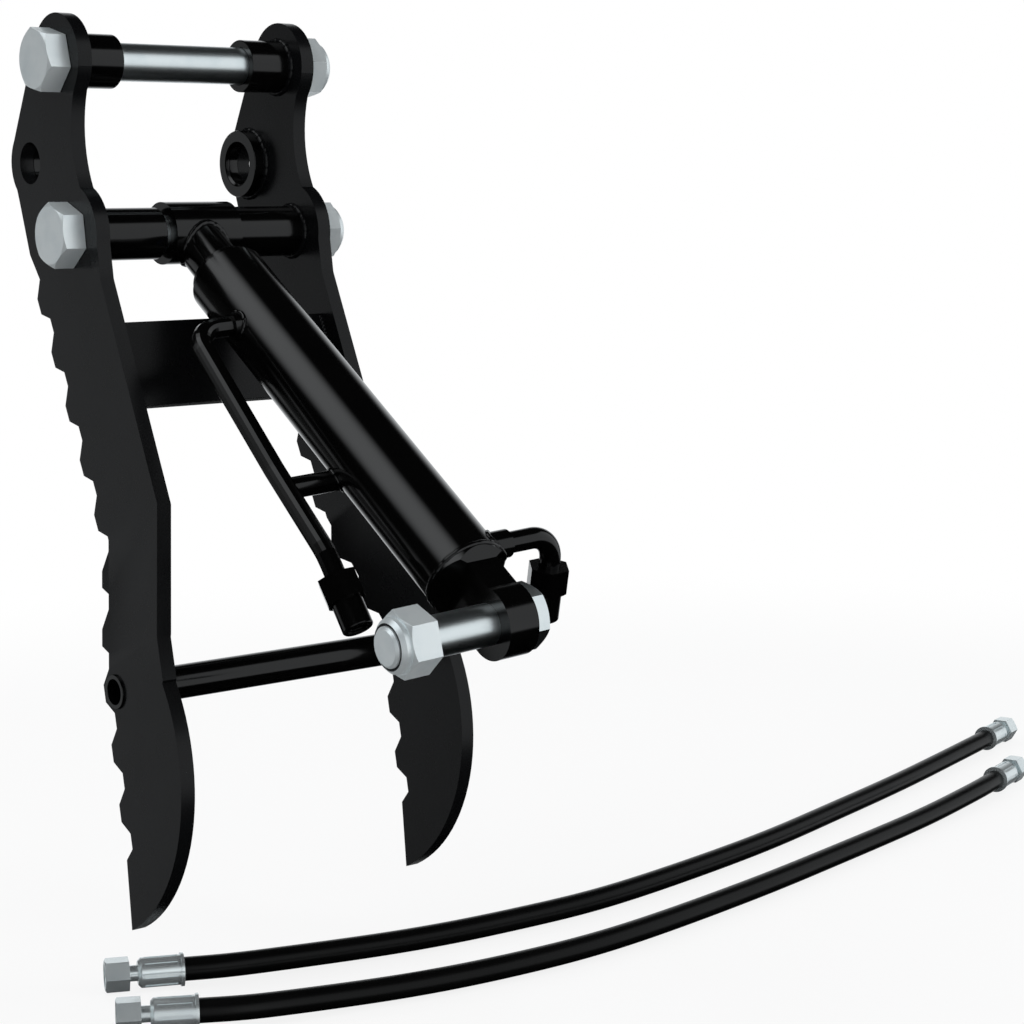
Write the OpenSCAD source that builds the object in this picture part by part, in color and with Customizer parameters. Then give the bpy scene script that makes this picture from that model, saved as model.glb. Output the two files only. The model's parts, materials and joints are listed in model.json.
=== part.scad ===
// Hydraulic thumb for a small excavator, hung from its main pin.
// Millimetres, +Z up. The origin is the centre of the main pin. X runs along
// the pins from the left plate to the right one, and the teeth face +Y.

/* [Side plates] */
// Thickness of a side plate
plate_t = 9.5; // [8:0.5:12]
// Clear width between the plates at the pins
gap_w = 156; // [150:1:190]
// Radius of the plate round the main pin
head_r = 29; // [26:1:34]
// Radius of the nose round the middle bore
nose_r = 25; // [24:1:30]
// Radius of the plate round the rod pin
pad_r = 32; // [28:1:36]
// Radius of the hollow in the back of the neck
waist_r = 75; // [65:1:90]
// Height from the main pin to the tip
reach = 530; // [520:1:560]
// Radius of the rounded back above the tip
belly_r = 112; // [105:1:120]

/* [Teeth] */
// Distance from one tooth to the next
tooth_pitch = 37; // [35:0.5:38]
// How far a tooth stands out
tooth_h = 9.2; // [6:0.2:11]
// Teeth on the straight upper run; the lower run holds as many as fit
upper_teeth = 7; // [5:1:7]
// Lean of the upper run from upright
upper_lean = 26.4; // [24:0.2:28]
// Lean of the lower run from upright
lower_lean = 12; // [8:0.5:14]

/* [Joggle] */
// How far each plate steps outwards
joggle_out = 22.5; // [15:0.5:30]
// Distance down the plate to the first bend
joggle_from = 288; // [280:1:300]
// Length of the slanting part between the bends
joggle_len = 81; // [65:1:85]

/* [Pins] */
// Offset of the middle bore towards the teeth
mid_y = 36.5; // [32:0.5:42]
// Drop of the middle bore below the main pin
mid_drop = 63.5; // [60:0.5:72]
// Offset of the rod pin away from the teeth
rod_pin_y = 14; // [8:0.5:16]
// Drop of the rod pin below the main pin
rod_pin_drop = 108; // [104:0.5:114]
// Diameter of the pin bolts
bolt_d = 24; // [22:0.5:26]
// Diameter of the middle bore
mid_bore_d = 26.5; // [24:0.5:30]

/* [Bosses] */
// Outside diameter of the main pin bosses
pivot_boss_d = 34; // [32:0.5:40]
// Clear width between the main pin bosses
pivot_gap = 96; // [80:1:110]
// Outside diameter of the rod pin bosses
rod_boss_d = 33; // [32:0.5:38]
// End gap between a rod pin boss and the rod eye
eye_play = 2.5; // [1:0.1:4]
// Outside diameter of the middle bosses
mid_boss_d = 44.6; // [40:0.2:46]
// How far a middle boss stands off its plate
mid_boss_h = 9; // [5:0.5:12]

/* [Cross members] */
// Thickness of the cross plate
cross_plate_t = 6; // [5:0.5:9]
// Width of the cross plate down the thumb
cross_plate_w = 56; // [45:1:65]
// Outside diameter of the cross tube
cross_tube_d = 21.3; // [18:0.1:26]
// Wall of the cross tube
cross_tube_wall = 2.8; // [2:0.1:4]

/* [Bolts] */
// Width across the flats of heads and nuts
bolt_af = 36; // [34:0.5:40]
// Height of a bolt head
head_h = 15; // [12:0.5:18]
// Height of a lock nut
nut_h = 24; // [20:0.5:27]
// Grip of the base bolt, from its head to its nut
base_grip = 64; // [60:1:80]
// Width across the flats of the base bolt's head and nut
base_bolt_af = 34; // [32:0.5:36]
// Height of the base bolt's low head
base_head_h = 10; // [9:0.5:15]

/* [Cylinder] */
// Distance between the cylinder's pins when closed
closed_len = 380; // [374:1:400]
// Angle of the cylinder below level
cylinder_dip = 33.3; // [20:0.1:34]
// Turn of the barrel about its rod, as it hangs
barrel_roll = 5; // [0:0.5:8]
// Outside diameter of the barrel
barrel_d = 50; // [48:0.5:52]
// Bore of the barrel
barrel_bore = 40; // [38:0.5:42]
// Travel of the barrel along the rod
stroke = 170; // [100:1:170]
// Diameter of the piston rod
rod_d = 25; // [22:0.5:26]
// Outside diameter of the rod eye
rod_eye_d = 40; // [38:0.5:42]
// Width of the rod eye
rod_eye_w = 49; // [44:0.5:54]
// Diameter of the rounded base lug
base_eye_d = 42; // [38:0.5:46]
// Thickness of the base lug
base_eye_w = 20; // [16:0.5:26]
// Width of the base lug between the barrel and its eye
base_tang_w = 37; // [34:0.5:38]

/* [Hard lines] */
// Outside diameter of a hard line
line_d = 12.7; // [10:0.1:13]
// Wall of a hard line
line_wall = 1.5; // [1:0.1:2]
// Distance of the long line from the barrel's centre
line_out = 54; // [54:0.5:58]
// Distance of the short line's run from the barrel's centre
base_line_out = 62; // [58:0.5:63]
// Width across the flats of a line nut
line_nut_af = 22; // [20:0.5:24]

/* [Hoses] */
// Outside diameter of a hose
hose_d = 15; // [13:0.5:16]
// Width across the flats of a swivel nut
hose_nut_af = 19; // [18:0.5:21]
// Depth of the floor below the main pin
floor_drop = 573; // [573:1:610]

/* [Hidden] */
$fn = 72;
// Radial clearance of a running fit
fit = 0.05;
// Gap between faces that turn against each other
play = 0.3;
// How far a cut runs past the face it opens
over = 1;
// How far joined shapes run into each other
lap = 0.2;
hose_sides = 10;
line_sides = 16;

steel = [0.16, 0.16, 0.17];
gloss = [0.07, 0.07, 0.08];
zinc = [0.8, 0.81, 0.82];
chrome = [0.88, 0.89, 0.9];
nylon = [0.12, 0.13, 0.16];
rubber = [0.06, 0.06, 0.06];
seal_colour = [0.15, 0.22, 0.35];

bolt_r = bolt_d / 2;
bore_r = bolt_r + fit;
plate_x = gap_w / 2;
outer_x = plate_x + plate_t;
corner_share = 1 / cos(30);

// Places of the pins and of the cross tube as Y and Z
main_pin = [0, 0];
mid_pin = [mid_y, -mid_drop];
rod_pin = [-rod_pin_y, -rod_pin_drop];
cross_tube_shares = [-0.179, -0.721];
cross_tube_at = reach * cross_tube_shares;

// The tooth line
upper_dir = [-sin(upper_lean), -cos(upper_lean)];
lower_dir = [-sin(lower_lean), -cos(lower_lean)];
upper_out = [cos(upper_lean), -sin(upper_lean)];
lower_out = [cos(lower_lean), -sin(lower_lean)];
first_valley_shares = [0.053, -0.2585];
first_valley = reach * first_valley_shares;
bend_valley = first_valley + upper_teeth * tooth_pitch * upper_dir;
tip_front_shares = [-0.1945, -0.917];
lower_teeth = floor(norm(reach * tip_front_shares - bend_valley) / tooth_pitch);
last_valley = bend_valley + lower_teeth * tooth_pitch * lower_dir;
tooth_shares = [[0, 0], [0.26, 1], [0.55, 1], [0.74, 0]];

// The back edge: where it starts, where it turns and where the belly begins
back_top_shares = [-0.0925, -0.253];
back_turn_shares = [-0.272, -0.6415];
belly_top_shares = [-0.283, -0.6906];
belly_centre_shares = [-0.1057, -0.8113];
nose_foot_shares = [0.098, -0.166];
step_foot_shares = [0.0755, -0.23];
inside_belly_shares = [-0.25, -0.77];
tip_shares = [-0.2038, -1.01];
outer_corner_shares = [-0.36, -1.01];
waist_centre = [-waist_r - bolt_r * 1.5, -rod_pin_drop * 0.4];

// The joggle, down the upper run of teeth
joggle_angle = atan(joggle_out / joggle_len);
joggle_shift = plate_t * tan(joggle_angle / 2);

// Middle boss
mid_bore_r = mid_bore_d / 2;
mid_mouth = 1.75;

// The cross plate lies along the back edge and is set in from it
cross_plate_top_shares = [-0.0868, -0.3045];
cross_plate_lean = 26;

// Bolts and nuts
head_chamfer = head_h / 9;
nut_hex_share = 0.75;
collar_share = 0.46;
insert_share = 0.39;
thread_r = bolt_r - play;
bolt_stick = nut_h / 16;
bolt_tip = bolt_d / 15;
main_head_turn = 16;
rod_head_turn = 8;
main_nut_turn = 20;
rod_nut_turn = 25;
base_head_turn = 42;
base_nut_turn = 14;

// Stations along the cylinder, from the rod pin towards the base pin
rod_r = rod_d / 2;
rod_eye_to_gland = 26;
gland_face = rod_eye_d / 2 + rod_eye_to_gland;
neck_wall = 3.5;
neck_r = rod_r + neck_wall;
neck_to_gland = 2;
neck_end = gland_face - neck_to_gland;
neck_chamfer = 1.5;
gland_rim = 6;
barrel_from = gland_face + gland_rim;
gland_len = 40;
gland_to = barrel_from + gland_len;
barrel_to_base_pin = 39;
cap_from = closed_len - barrel_to_base_pin;
plug_len = 16;
plug_from = cap_from - plug_len;
plug_r = barrel_bore / 2 - fit;
plug_bore_r = 14;
base_port_in = 6;
base_port_s = cap_from - base_port_in;
piston_len = 26;
piston_nut_len = 10;
rod_to_plug = 3;
spigot_end = plug_from - rod_to_plug;
spigot_stick = 2;
piston_nut_to = spigot_end - spigot_stick;
piston_to = piston_nut_to - piston_nut_len;
piston_from = piston_to - piston_len;
spigot_r = rod_r * 0.7;
piston_r = barrel_bore / 2 - fit;
barrel_r = barrel_d / 2;
seal_w = 8;
seal_depth = 2.5;
gland_rim_step = 3;
gland_flange_r = barrel_r - gland_rim_step;
wiper_wall = 4;
wiper_r = rod_r + wiper_wall;
wiper_w = 5;
rod_seal_in = 12;
rod_seal_from = barrel_from + rod_seal_in;
o_ring_in = 28;
o_ring_from = barrel_from + o_ring_in;
o_ring_w = 4;
spanner_hole_r = 1.6;
oil_way_r = line_d / 2 - line_wall;
weld_groove = 1.2;
shoulder_from = cap_from + weld_groove;
shoulder_len = 7.5;
shoulder_to = cap_from + shoulder_len;

// Hard lines
line_r = line_d / 2;
port_wall = 2;
port_r = line_r + port_wall;
port_h = 3;
line_bend_r = line_d * 1.3;
head_port_w = 5;
head_port_past_gland = 12;
head_port_s = gland_to + head_port_past_gland;
// The head line's corners past its port, as shares of the closed length: how
// far along the cylinder and how far towards the rear
head_line_waist_shares = [0.57, -0.0353];
head_line_knee_shares = [0.745, -0.0565];
head_line_end_shares = [0.822, -0.0865];
strut_r = 6.5;
strut_share = 0.23;
base_port_w = 13;
base_line_drop = 72;
base_line_tail = 4;
line_nut_h = 16;
line_body_r = line_nut_af * 0.42;
line_body_h = 18;
line_mouth_r = 6.5;
line_mouth_h = 12;
// Hose ends
hose_r = hose_d / 2;
ferrule_wall = 2;
ferrule_r = hose_r + ferrule_wall;
ferrule_len = 28.5;
ferrule_lip = 2;
crimp_marks = 8;
crimp_depth = 0.7;
crimp_w = 2.4;
swivel_neck_r = 5;
swivel_gap = 5.5;
swivel_nut_len = 15;
swivel_wall = 3;
swivel_thread_from = 6.8;
swivel_thread_r = 7.1;
swivel_relief_r = 7.6;
swivel_flange = 1.2;
swivel_cone = 2;
swivel_head_r = 6.8;
swivel_bore_r = 2.5;
end_z = hose_nut_af / 2 - floor_drop;
hose_z = hose_r - floor_drop;
// Stretch at each end of a hose that follows its ferrule, and its points
hose_lead = 32;
lead_shares = [0, 0.5, 1];

// Routes of the hoses as X, Y and height over the hose that lies on the floor
hose_1_start = [-72, -104];
hose_1_start_turn = 155;
hose_1_middle = [[70, -144, 0], [160, -156, 0], [250, -157, 0], [400, -136, 0], [530, -106, 0], [640, -78, 0]];
hose_1_finish = [794, -36];
hose_1_finish_turn = 17;
hose_2_start = [-104, -173];
hose_2_start_turn = 151;
hose_2_middle = [[20, -213, 0], [105, -226, 0], [190, -227, 0], [320, -211, 0], [437, -190, 0], [560, -165, 0]];
hose_2_finish = [688, -132];
hose_2_finish_turn = 18;
// Steps between two route points
hose_steps = 4;

// General shapes

// Stands a Y-Z outline up along X, from x0 over a width w
module across(x0, w) {
    translate([x0, 0, 0]) rotate([90, 0, 90]) linear_extrude(height = w) children();
}

// A round bar along X, centred on a pin
module bar_x(at, x0, x1, r) {
    translate([x0, at[0], at[1]]) rotate([0, 90, 0]) cylinder(h = x1 - x0, r = r);
}

module ring(outer, inner, h) {
    difference() {
        cylinder(h = h, r = outer);
        translate([0, 0, -over]) cylinder(h = h + 2 * over, r = inner);
    }
}

// A hexagon with the corners of its far end turned down
module hexagon(af, h, chamfer) {
    corner_r = af / 2 * corner_share;
    intersection() {
        cylinder(h = h, r = corner_r, $fn = 6);
        union() {
            cylinder(h = h - chamfer, r = corner_r + over);
            translate([0, 0, h - chamfer])
                cylinder(h = chamfer, r1 = corner_r, r2 = corner_r - chamfer * 1.7);
        }
    }
}

// Side plates

function valley(i) = i <= upper_teeth
    ? first_valley + i * tooth_pitch * upper_dir
    : bend_valley + (i - upper_teeth) * tooth_pitch * lower_dir;

// The four corners of the tooth that starts at valley i
function tooth(i) =
    let (down = i < upper_teeth ? upper_dir : lower_dir,
        out = i < upper_teeth ? upper_out : lower_out)
        [for (s = tooth_shares) valley(i) + s[0] * tooth_pitch * down + s[1] * tooth_h * out];

module neck_outline() {
    front = [mid_drop, mid_y] / norm([mid_drop, mid_y]);
    difference() {
        polygon([
            main_pin + (head_r - lap) * front,
            mid_pin + (nose_r - lap) * front,
            mid_pin + [nose_r - lap, 0],
            reach * nose_foot_shares,
            reach * step_foot_shares,
            first_valley,
            reach * back_top_shares,
            rod_pin - [pad_r - over, 0],
            main_pin - [head_r - over, 0]
        ]);
        translate(waist_centre) circle(r = waist_r);
    }
}

module blade_outline() {
    polygon(concat(
        [for (i = [0 : upper_teeth - 1], c = tooth(i)) c],
        [
            bend_valley,
            reach * inside_belly_shares,
            reach * belly_top_shares,
            reach * back_turn_shares,
            reach * back_top_shares
        ]
    ));
}

module belly_outline() {
    intersection() {
        polygon(concat(
            [for (i = [upper_teeth : upper_teeth + lower_teeth - 1], c = tooth(i)) c],
            [
                last_valley,
                reach * tip_front_shares,
                reach * tip_shares,
                reach * outer_corner_shares,
                [reach * outer_corner_shares[0], reach * belly_top_shares[1]],
                reach * belly_top_shares,
                reach * back_turn_shares
            ]
        ));
        translate(reach * belly_centre_shares) circle(r = belly_r, $fn = 144);
    }
}

// The plate's shape, as thick as the whole joggle
module plate_slab() {
    x0 = -outer_x - joggle_out - over;
    w = plate_t + joggle_out + 2 * over;
    difference() {
        union() {
            bar_x(main_pin, x0, x0 + w, head_r);
            bar_x(mid_pin, x0, x0 + w, nose_r);
            bar_x(rod_pin, x0, x0 + w, pad_r);
            across(x0, w) neck_outline();
            across(x0, w) blade_outline();
            across(x0, w) belly_outline();
        }
        bar_x(main_pin, x0 - over, x0 + w + over, bore_r);
        bar_x(mid_pin, x0 - over, x0 + w + over, mid_bore_r);
        bar_x(rod_pin, x0 - over, x0 + w + over, bore_r);
        bar_x(cross_tube_at, x0 - over, x0 + w + over, cross_tube_d / 2 + fit);
    }
}

// The space that the plate fills between its bends, seen along the bends
module joggle_band() {
    bend_1 = -joggle_from;
    bend_2 = -joggle_from - joggle_len;
    low_x = outer_x + joggle_out;
    rotate([-upper_lean, 0, 0])
        translate([0, reach, 0])
            rotate([90, 0, 0])
                linear_extrude(height = 2 * reach)
                    polygon([
                        [-outer_x, reach],
                        [-outer_x, bend_1],
                        [-low_x, bend_2],
                        [-low_x, -2 * reach],
                        [plate_t - low_x, -2 * reach],
                        [plate_t - low_x, bend_2 - joggle_shift],
                        [-plate_x, bend_1 - joggle_shift],
                        [-plate_x, reach]
                    ]);
}

module side_plate_left() {
    color(steel) intersection() {
        plate_slab();
        joggle_band();
    }
}

module side_plate_right() {
    mirror([1, 0, 0]) side_plate_left();
}

// Bosses and cross members

// A boss on the left plate's inner face that ends at the plane x1
module boss(at, x1, r, hole) {
    color(gloss) difference() {
        bar_x(at, -plate_x, x1, r);
        bar_x(at, -plate_x - over, x1 + over, hole);
    }
}

module pivot_boss_left() {
    boss(main_pin, -pivot_gap / 2, pivot_boss_d / 2, bore_r);
}

module pivot_boss_right() {
    mirror([1, 0, 0]) pivot_boss_left();
}

module middle_boss_left() {
    end_x = mid_boss_h - plate_x;
    color(gloss) difference() {
        boss(mid_pin, end_x, mid_boss_d / 2, mid_bore_r);
        translate([end_x - mid_mouth, mid_pin[0], mid_pin[1]])
            rotate([0, 90, 0])
                cylinder(h = 2 * mid_mouth, r1 = mid_bore_r, r2 = mid_bore_r + 2 * mid_mouth);
    }
}

module middle_boss_right() {
    mirror([1, 0, 0]) middle_boss_left();
}

module rod_boss_left() {
    boss(rod_pin, -rod_eye_w / 2 - eye_play, rod_boss_d / 2, bore_r);
}

module rod_boss_right() {
    mirror([1, 0, 0]) rod_boss_left();
}

module cross_plate() {
    top = reach * cross_plate_top_shares;
    color(steel)
        translate([-plate_x, top[0], top[1]])
            rotate([-cross_plate_lean, 0, 0])
                translate([0, 0, -cross_plate_w])
                    cube([gap_w, cross_plate_t, cross_plate_w]);
}

module cross_tube() {
    end_x = outer_x + joggle_out + cross_tube_wall / 2;
    color(gloss) difference() {
        bar_x(cross_tube_at, -end_x, end_x, cross_tube_d / 2);
        bar_x(cross_tube_at, -end_x - over, end_x + over, cross_tube_d / 2 - cross_tube_wall);
    }
}

// Bolts and lock nuts, along +Z from the face under the head

module hex_bolt(grip, turn, af = bolt_af, h = head_h) {
    tip_z = grip + nut_h + bolt_stick;
    color(zinc) union() {
        mirror([0, 0, 1]) rotate([0, 0, -turn]) hexagon(af, h, head_chamfer);
        cylinder(h = grip, r = bolt_r);
        cylinder(h = tip_z - bolt_tip, r = thread_r);
        translate([0, 0, tip_z - bolt_tip])
            cylinder(h = bolt_tip, r1 = thread_r, r2 = thread_r - bolt_tip);
    }
}

module lock_nut(turn, af = bolt_af) {
    hex_h = nut_h * nut_hex_share;
    collar_r = af * collar_share;
    collar_round = (nut_h - hex_h) / 2;
    color(zinc) difference() {
        union() {
            rotate([0, 0, turn]) hexagon(af, hex_h, head_chamfer);
            cylinder(h = nut_h - collar_round, r = collar_r);
            translate([0, 0, nut_h - collar_round])
                cylinder(h = collar_round, r1 = collar_r, r2 = collar_r - collar_round);
        }
        translate([0, 0, -over]) cylinder(h = nut_h + 2 * over, r = thread_r + fit);
        translate([0, 0, hex_h]) cylinder(h = nut_h, r = af * insert_share);
    }
}

module lock_insert(af = bolt_af) {
    hex_h = nut_h * nut_hex_share;
    color(nylon) translate([0, 0, hex_h])
        ring(af * insert_share - fit, thread_r + fit, nut_h - hex_h - over);
}

module on_left_face(at) {
    translate([-outer_x - play, at[0], at[1]]) rotate([0, 90, 0]) children();
}

module on_right_face(at) {
    translate([outer_x + play, at[0], at[1]]) rotate([0, 90, 0]) children();
}

pin_grip = 2 * (outer_x + play);

module main_bolt() { on_left_face(main_pin) hex_bolt(pin_grip, main_head_turn); }
module main_nut() { on_right_face(main_pin) lock_nut(main_nut_turn); }
module main_nut_insert() { on_right_face(main_pin) lock_insert(); }
module rod_bolt() { on_left_face(rod_pin) hex_bolt(pin_grip, rod_head_turn); }
module rod_nut() { on_right_face(rod_pin) lock_nut(rod_nut_turn); }
module rod_nut_insert() { on_right_face(rod_pin) lock_insert(); }

// Cylinder. Its own frame has +Z from the rod pin to the base pin, +X along
// the rod pin, and +Y away from the teeth.

module along_cylinder() {
    translate([0, rod_pin[0], rod_pin[1]]) rotate([90 + cylinder_dip, 0, 0]) children();
}

module along_barrel() {
    along_cylinder() rotate([0, 0, barrel_roll]) children();
}

// An eye across the cylinder at the station s
module eye_bar(s, w, r) {
    translate([-w / 2, 0, s]) rotate([0, 90, 0]) cylinder(h = w, r = r);
}

// The eye rests against the right boss, and its neck reaches to the gland
module rod_eye() {
    color(gloss) along_cylinder() difference() {
        union() {
            translate([eye_play - play, 0, 0]) eye_bar(0, rod_eye_w, rod_eye_d / 2);
            cylinder(h = neck_end - neck_chamfer, r = neck_r);
            translate([0, 0, neck_end - neck_chamfer])
                cylinder(h = neck_chamfer, r1 = neck_r, r2 = neck_r - neck_chamfer);
        }
        eye_bar(0, 2 * rod_eye_w, bore_r);
    }
}

module piston_rod() {
    color(chrome) along_cylinder() {
        translate([0, 0, neck_end]) cylinder(h = piston_from - neck_end, r = rod_r);
        translate([0, 0, piston_from]) cylinder(h = spigot_end - piston_from, r = spigot_r);
    }
}

module piston() {
    mid = piston_from + piston_len / 2;
    color(steel) along_cylinder() difference() {
        translate([0, 0, piston_from]) ring(piston_r, spigot_r + fit, piston_len);
        translate([0, 0, mid - seal_w / 2]) ring(piston_r + over, piston_r - seal_depth, seal_w);
    }
}

module piston_seal() {
    mid = piston_from + piston_len / 2;
    color(seal_colour) along_cylinder()
        translate([0, 0, mid - seal_w / 2 + fit])
            ring(piston_r, piston_r - seal_depth + fit, seal_w - 2 * fit);
}

module piston_nut() {
    color(zinc) along_cylinder() translate([0, 0, piston_to]) difference() {
        hexagon(spigot_r * 3, piston_nut_len, over);
        translate([0, 0, -over]) cylinder(h = piston_nut_len + 2 * over, r = spigot_r + fit);
    }
}

module gland() {
    spanner_at = (gland_flange_r + wiper_r) / 2;
    color(gloss) along_barrel() difference() {
        union() {
            translate([0, 0, gland_face]) cylinder(h = barrel_from - gland_face, r = gland_flange_r);
            translate([0, 0, barrel_from]) cylinder(h = gland_to - barrel_from, r = piston_r);
        }
        translate([0, 0, gland_face - over])
            cylinder(h = gland_to - gland_face + 2 * over, r = rod_r + fit);
        translate([0, 0, gland_face - over]) cylinder(h = wiper_w + over, r = wiper_r);
        translate([0, 0, rod_seal_from]) cylinder(h = seal_w, r = wiper_r);
        translate([0, 0, o_ring_from]) ring(piston_r + over, piston_r - seal_depth, o_ring_w);
        for (side = [-1, 1])
            translate([0, side * spanner_at, gland_face - over])
                cylinder(h = wiper_w, r = spanner_hole_r);
    }
}

module rod_wiper() {
    color(seal_colour) along_barrel()
        translate([0, 0, gland_face]) ring(wiper_r - fit, rod_r + fit, wiper_w - fit);
}

module rod_seal() {
    color(seal_colour) along_barrel()
        translate([0, 0, rod_seal_from + fit]) ring(wiper_r - fit, rod_r + fit, seal_w - 2 * fit);
}

module gland_o_ring() {
    color(rubber) along_barrel()
        translate([0, 0, o_ring_from + fit])
            ring(piston_r, piston_r - seal_depth + fit, o_ring_w - 2 * fit);
}

module barrel_tube() {
    color(gloss) along_barrel() difference() {
        union() {
            translate([0, 0, barrel_from])
                cylinder(h = cap_from - weld_groove - barrel_from, r = barrel_r);
            translate([0, 0, cap_from - weld_groove])
                cylinder(h = weld_groove, r1 = barrel_r, r2 = barrel_r - weld_groove);
        }
        translate([0, 0, barrel_from - over])
            cylinder(h = cap_from - barrel_from + 2 * over, r = barrel_bore / 2);
        translate([0, head_port_w, head_port_s]) rotate([0, -90, 0]) cylinder(h = barrel_d, r = oil_way_r);
        translate([0, base_port_w, base_port_s]) rotate([0, 90, 0]) cylinder(h = barrel_d, r = oil_way_r);
    }
}

// The outline of the lug past the barrel, drawn in from the barrel to width w
module lug_outline(w, end_s) {
    polygon([
        [-barrel_r - over, plug_from - over],
        [-barrel_r - over, shoulder_from],
        [-w / 2, shoulder_to],
        [-w / 2, end_s],
        [w / 2, end_s],
        [w / 2, shoulder_to],
        [barrel_r + over, shoulder_from],
        [barrel_r + over, plug_from - over]
    ]);
}

// The lug seen along the pin, with its round eye
module lug_side() {
    across(-barrel_d, 2 * barrel_d) lug_outline(base_tang_w, closed_len);
    eye_bar(closed_len, 4 * barrel_d, base_eye_d / 2);
}

// The lug seen from the teeth, drawn in to its thickness
module lug_front() {
    translate([0, barrel_d, 0]) rotate([90, 0, 0])
        linear_extrude(height = 2 * barrel_d) lug_outline(base_eye_w, closed_len + base_eye_d);
}

// The lug is one forging with the cap, whose plug sits in the barrel
module base_lug() {
    color(gloss) along_barrel() difference() {
        intersection() {
            union() {
                translate([0, 0, plug_from]) cylinder(h = barrel_r, r = plug_r);
                translate([0, 0, cap_from])
                    cylinder(h = weld_groove, r1 = barrel_r - weld_groove, r2 = barrel_r);
                translate([0, 0, cap_from + weld_groove])
                    cylinder(h = closed_len + base_eye_d - cap_from, r = barrel_r);
            }
            lug_side();
            lug_front();
        }
        eye_bar(closed_len, base_eye_w + 2 * over, bore_r);
        translate([0, 0, plug_from - over])
            cylinder(h = base_port_s - plug_from + oil_way_r + 2 * over, r = plug_bore_r);
        translate([0, base_port_w, base_port_s]) rotate([0, 90, 0]) cylinder(h = barrel_d, r = oil_way_r);
    }
}

// Ports and hard lines, in the barrel's frame

// Opens a port's foot to the barrel
module port_seat(s) {
    translate([0, 0, s - port_r - over]) cylinder(h = 2 * (port_r + over), r = barrel_r + fit);
}

module head_port() {
    color(gloss) along_barrel() difference() {
        translate([0, head_port_w, head_port_s]) rotate([0, -90, 0])
            ring(port_r, line_r + fit, barrel_r + port_h);
        port_seat(head_port_s);
    }
}

module base_port() {
    color(gloss) along_barrel() difference() {
        translate([0, base_port_w, base_port_s]) rotate([0, 90, 0])
            ring(port_r, line_r + fit, barrel_r + port_h);
        port_seat(base_port_s);
    }
}

// Points round the corner b of the path a, b, c with the bend radius r
function corner(a, b, c, r) =
    let (u = (a - b) / norm(a - b), v = (c - b) / norm(c - b),
        half = acos(u * v) / 2, turn = 180 - 2 * half,
        steps = ceil(turn / 10),
        middle = b + (u + v) / norm(u + v) * r / sin(half),
        out = (b + u * r / tan(half) - middle) / r)
        [for (i = [0 : steps]) middle + r * (cos(turn * i / steps) * out - sin(turn * i / steps) * u)];

// The head line's middle line in the barrel's frame
head_line_start = [-barrel_r - line_wall, head_port_w, head_port_s];
head_line_corner = [-line_out, head_port_w, head_port_s];
head_line_waist = [-line_out, closed_len * head_line_waist_shares[1], closed_len * head_line_waist_shares[0]];
head_line_knee = [-line_out, closed_len * head_line_knee_shares[1], closed_len * head_line_knee_shares[0]];
head_line_finish = [-line_out, closed_len * head_line_end_shares[1], closed_len * head_line_end_shares[0]];
head_line_tail_dir = (head_line_finish - head_line_knee) / norm(head_line_finish - head_line_knee);
head_line_tail_turn = atan2(-head_line_tail_dir[1], head_line_tail_dir[2]);

module head_line() {
    color(gloss) along_barrel() sweep(
        concat(
            [head_line_start],
            corner(head_line_start, head_line_corner, head_line_waist, line_bend_r),
            corner(head_line_corner, head_line_waist, head_line_knee, 4 * line_d),
            corner(head_line_waist, head_line_knee, head_line_finish, 4 * line_d),
            [head_line_finish]
        ), line_r, line_sides, [0, 1, 0]);
}

// Places +Z along the last stretch of the head line, at the foot of its nut
module at_head_line_nut() {
    along_barrel() translate(head_line_finish - line_nut_h * head_line_tail_dir)
        rotate([head_line_tail_turn, 0, 0]) children();
}

line_lead = base_line_out - line_bend_r - barrel_r - line_wall;

// A quarter bend of a tube. It starts at the origin along +Z and turns
// towards +X, and its children go on from its end.
module bend(r) {
    translate([line_bend_r, 0, 0]) rotate([90, 0, 0]) rotate([0, 0, 90])
        rotate_extrude(angle = 90) translate([line_bend_r, 0]) circle(r = r, $fn = 32);
}

// Places +Z along the base line's stub and +X along its run
module at_base_line() {
    along_barrel() translate([barrel_r + line_wall, base_port_w, base_port_s])
        rotate([base_line_drop, 0, 0]) rotate([0, 90, 0]) mirror([1, 0, 0]) children();
}

module at_base_line_nut() {
    at_base_line() translate([line_bend_r + base_line_tail, 0, line_lead + line_bend_r])
        rotate([0, 90, 0]) children();
}

module base_line() {
    color(gloss) at_base_line() {
        cylinder(h = line_lead, r = line_r, $fn = 32);
        translate([0, 0, line_lead]) bend(line_r);
        translate([line_bend_r, 0, line_lead + line_bend_r]) rotate([0, 90, 0])
            cylinder(h = base_line_tail + line_nut_h, r = line_r, $fn = 32);
    }
}

// A stay from the barrel's side to the head line
module head_line_strut() {
    run = head_line_knee - head_line_waist;
    place = head_line_waist + strut_share * run;
    color(gloss) along_barrel() difference() {
        translate([0, place[1], place[2]]) rotate([0, -90, 0])
            cylinder(h = line_out - line_r / 2, r = strut_r);
        translate([0, 0, place[2] - barrel_r]) cylinder(h = barrel_d, r = barrel_r + fit);
        translate(head_line_waist) rotate([atan2(-run[1], run[2]), 0, 0])
            cylinder(h = norm(run), r = line_r + fit);
    }
}

module line_nut() {
    color(gloss) difference() {
        hexagon(line_nut_af, line_nut_h, over);
        translate([0, 0, -over]) cylinder(h = line_nut_h + 2 * over, r = line_r + fit);
    }
}

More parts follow.
